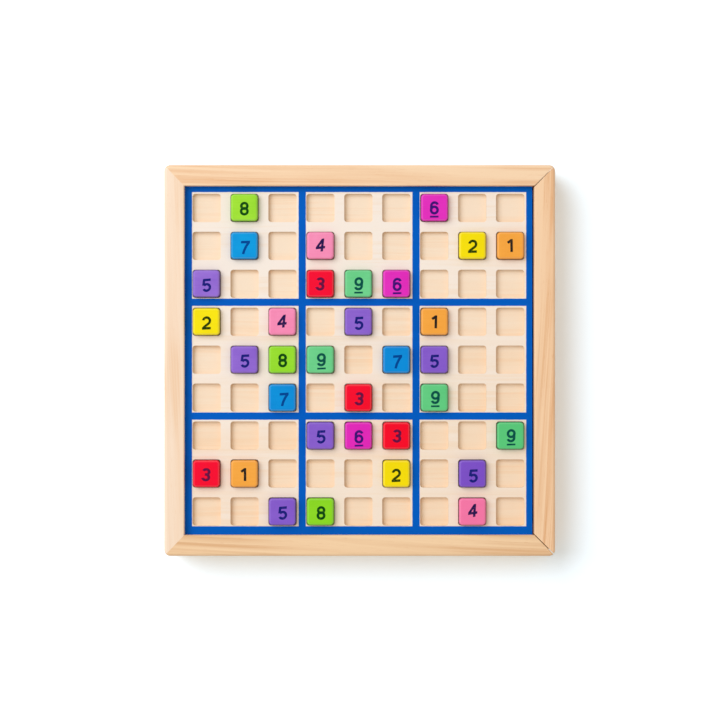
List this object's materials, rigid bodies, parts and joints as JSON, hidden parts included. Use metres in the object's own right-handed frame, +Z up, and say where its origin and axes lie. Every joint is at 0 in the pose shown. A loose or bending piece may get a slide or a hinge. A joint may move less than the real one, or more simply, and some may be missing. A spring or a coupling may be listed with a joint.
{
  "type": "sudoku board",
  "caption": "Wooden sudoku board with painted number tiles in square sockets, printed grid lines and a drawer behind one rail for the loose tiles.",
  "frame": {"origin": "under the middle of the case, on the surface it stands on", "axes": "+Z up, +X the way the drawer pulls out, +Y up the page as the numbers are read"},
  "size_m": [0.2348, 0.2348, 0.032],
  "materials": {
    "rail_wood": "satin",
    "sheet_wood": "satin",
    "panel_wood": "satin",
    "drawer_wood": "satin",
    "brad_steel": "satin",
    "orange_paint": "satin",
    "yellow_paint": "satin",
    "red_paint": "satin",
    "pink_paint": "satin",
    "purple_paint": "satin",
    "magenta_paint": "satin",
    "blue_paint": "satin",
    "lime_paint": "satin",
    "green_paint": "satin"
  },
  "bodies": {
    "case": {"left_rail": "rail_wood", "far_rail": "rail_wood", "near_rail": "rail_wood", "grid_sheet": "sheet_wood", "backing_panel": "panel_wood", "base_panel": "panel_wood", "base_brads": "brad_steel"},
    "drawer": {"drawer_front": "rail_wood", "drawer_bottom": "panel_wood", "drawer_side_far": "drawer_wood", "drawer_side_near": "drawer_wood", "drawer_back": "drawer_wood", "loose_1": "orange_paint", "loose_2": "yellow_paint", "loose_3": "red_paint", "loose_4": "pink_paint", "loose_5": "purple_paint", "loose_6": "magenta_paint", "loose_7": "blue_paint", "loose_8": "lime_paint", "loose_9": "green_paint"},
    "tile_r1c2": {"tile_r1c2": "lime_paint"},
    "tile_r1c7": {"tile_r1c7": "magenta_paint"},
    "tile_r2c2": {"tile_r2c2": "blue_paint"},
    "tile_r2c4": {"tile_r2c4": "pink_paint"},
    "tile_r2c8": {"tile_r2c8": "yellow_paint"},
    "tile_r2c9": {"tile_r2c9": "orange_paint"},
    "tile_r3c1": {"tile_r3c1": "purple_paint"},
    "tile_r3c4": {"tile_r3c4": "red_paint"},
    "tile_r3c5": {"tile_r3c5": "green_paint"},
    "tile_r3c6": {"tile_r3c6": "magenta_paint"},
    "tile_r4c1": {"tile_r4c1": "yellow_paint"},
    "tile_r4c3": {"tile_r4c3": "pink_paint"},
    "tile_r4c5": {"tile_r4c5": "purple_paint"},
    "tile_r4c7": {"tile_r4c7": "orange_paint"},
    "tile_r5c2": {"tile_r5c2": "purple_paint"},
    "tile_r5c3": {"tile_r5c3": "lime_paint"},
    "tile_r5c4": {"tile_r5c4": "green_paint"},
    "tile_r5c6": {"tile_r5c6": "blue_paint"},
    "tile_r5c7": {"tile_r5c7": "purple_paint"},
    "tile_r6c3": {"tile_r6c3": "blue_paint"},
    "tile_r6c5": {"tile_r6c5": "red_paint"},
    "tile_r6c7": {"tile_r6c7": "green_paint"},
    "tile_r7c4": {"tile_r7c4": "purple_paint"},
    "tile_r7c5": {"tile_r7c5": "magenta_paint"},
    "tile_r7c6": {"tile_r7c6": "red_paint"},
    "tile_r7c9": {"tile_r7c9": "green_paint"},
    "tile_r8c1": {"tile_r8c1": "red_paint"},
    "tile_r8c2": {"tile_r8c2": "orange_paint"},
    "tile_r8c6": {"tile_r8c6": "yellow_paint"},
    "tile_r8c8": {"tile_r8c8": "purple_paint"},
    "tile_r9c3": {"tile_r9c3": "purple_paint"},
    "tile_r9c4": {"tile_r9c4": "lime_paint"},
    "tile_r9c8": {"tile_r9c8": "pink_paint"}
  },
  "joints": [
    {"name": "drawer_slide", "type": "slide", "parent": "case", "child": "drawer", "axis": [1, 0, 0], "range_m": [0, 0.17]},
    {"name": "lift_r1c2", "type": "slide", "parent": "case", "child": "tile_r1c2", "axis": [0, 0, 1], "range_m": [0, 0.03]},
    {"name": "lift_r1c7", "type": "slide", "parent": "case", "child": "tile_r1c7", "axis": [0, 0, 1], "range_m": [0, 0.03]},
    {"name": "lift_r2c2", "type": "slide", "parent": "case", "child": "tile_r2c2", "axis": [0, 0, 1], "range_m": [0, 0.03]},
    {"name": "lift_r2c4", "type": "slide", "parent": "case", "child": "tile_r2c4", "axis": [0, 0, 1], "range_m": [0, 0.03]},
    {"name": "lift_r2c8", "type": "slide", "parent": "case", "child": "tile_r2c8", "axis": [0, 0, 1], "range_m": [0, 0.03]},
    {"name": "lift_r2c9", "type": "slide", "parent": "case", "child": "tile_r2c9", "axis": [0, 0, 1], "range_m": [0, 0.03]},
    {"name": "lift_r3c1", "type": "slide", "parent": "case", "child": "tile_r3c1", "axis": [0, 0, 1], "range_m": [0, 0.03]},
    {"name": "lift_r3c4", "type": "slide", "parent": "case", "child": "tile_r3c4", "axis": [0, 0, 1], "range_m": [0, 0.03]},
    {"name": "lift_r3c5", "type": "slide", "parent": "case", "child": "tile_r3c5", "axis": [0, 0, 1], "range_m": [0, 0.03]},
    {"name": "lift_r3c6", "type": "slide", "parent": "case", "child": "tile_r3c6", "axis": [0, 0, 1], "range_m": [0, 0.03]},
    {"name": "lift_r4c1", "type": "slide", "parent": "case", "child": "tile_r4c1", "axis": [0, 0, 1], "range_m": [0, 0.03]},
    {"name": "lift_r4c3", "type": "slide", "parent": "case", "child": "tile_r4c3", "axis": [0, 0, 1], "range_m": [0, 0.03]},
    {"name": "lift_r4c5", "type": "slide", "parent": "case", "child": "tile_r4c5", "axis": [0, 0, 1], "range_m": [0, 0.03]},
    {"name": "lift_r4c7", "type": "slide", "parent": "case", "child": "tile_r4c7", "axis": [0, 0, 1], "range_m": [0, 0.03]},
    {"name": "lift_r5c2", "type": "slide", "parent": "case", "child": "tile_r5c2", "axis": [0, 0, 1], "range_m": [0, 0.03]},
    {"name": "lift_r5c3", "type": "slide", "parent": "case", "child": "tile_r5c3", "axis": [0, 0, 1], "range_m": [0, 0.03]},
    {"name": "lift_r5c4", "type": "slide", "parent": "case", "child": "tile_r5c4", "axis": [0, 0, 1], "range_m": [0, 0.03]},
    {"name": "lift_r5c6", "type": "slide", "parent": "case", "child": "tile_r5c6", "axis": [0, 0, 1], "range_m": [0, 0.03]},
    {"name": "lift_r5c7", "type": "slide", "parent": "case", "child": "tile_r5c7", "axis": [0, 0, 1], "range_m": [0, 0.03]},
    {"name": "lift_r6c3", "type": "slide", "parent": "case", "child": "tile_r6c3", "axis": [0, 0, 1], "range_m": [0, 0.03]},
    {"name": "lift_r6c5", "type": "slide", "parent": "case", "child": "tile_r6c5", "axis": [0, 0, 1], "range_m": [0, 0.03]},
    {"name": "lift_r6c7", "type": "slide", "parent": "case", "child": "tile_r6c7", "axis": [0, 0, 1], "range_m": [0, 0.03]},
    {"name": "lift_r7c4", "type": "slide", "parent": "case", "child": "tile_r7c4", "axis": [0, 0, 1], "range_m": [0, 0.03]},
    {"name": "lift_r7c5", "type": "slide", "parent": "case", "child": "tile_r7c5", "axis": [0, 0, 1], "range_m": [0, 0.03]},
    {"name": "lift_r7c6", "type": "slide", "parent": "case", "child": "tile_r7c6", "axis": [0, 0, 1], "range_m": [0, 0.03]},
    {"name": "lift_r7c9", "type": "slide", "parent": "case", "child": "tile_r7c9", "axis": [0, 0, 1], "range_m": [0, 0.03]},
    {"name": "lift_r8c1", "type": "slide", "parent": "case", "child": "tile_r8c1", "axis": [0, 0, 1], "range_m": [0, 0.03]},
    {"name": "lift_r8c2", "type": "slide", "parent": "case", "child": "tile_r8c2", "axis": [0, 0, 1], "range_m": [0, 0.03]},
    {"name": "lift_r8c6", "type": "slide", "parent": "case", "child": "tile_r8c6", "axis": [0, 0, 1], "range_m": [0, 0.03]},
    {"name": "lift_r8c8", "type": "slide", "parent": "case", "child": "tile_r8c8", "axis": [0, 0, 1], "range_m": [0, 0.03]},
    {"name": "lift_r9c3", "type": "slide", "parent": "case", "child": "tile_r9c3", "axis": [0, 0, 1], "range_m": [0, 0.03]},
    {"name": "lift_r9c4", "type": "slide", "parent": "case", "child": "tile_r9c4", "axis": [0, 0, 1], "range_m": [0, 0.03]},
    {"name": "lift_r9c8", "type": "slide", "parent": "case", "child": "tile_r9c8", "axis": [0, 0, 1], "range_m": [0, 0.03]}
  ]
}
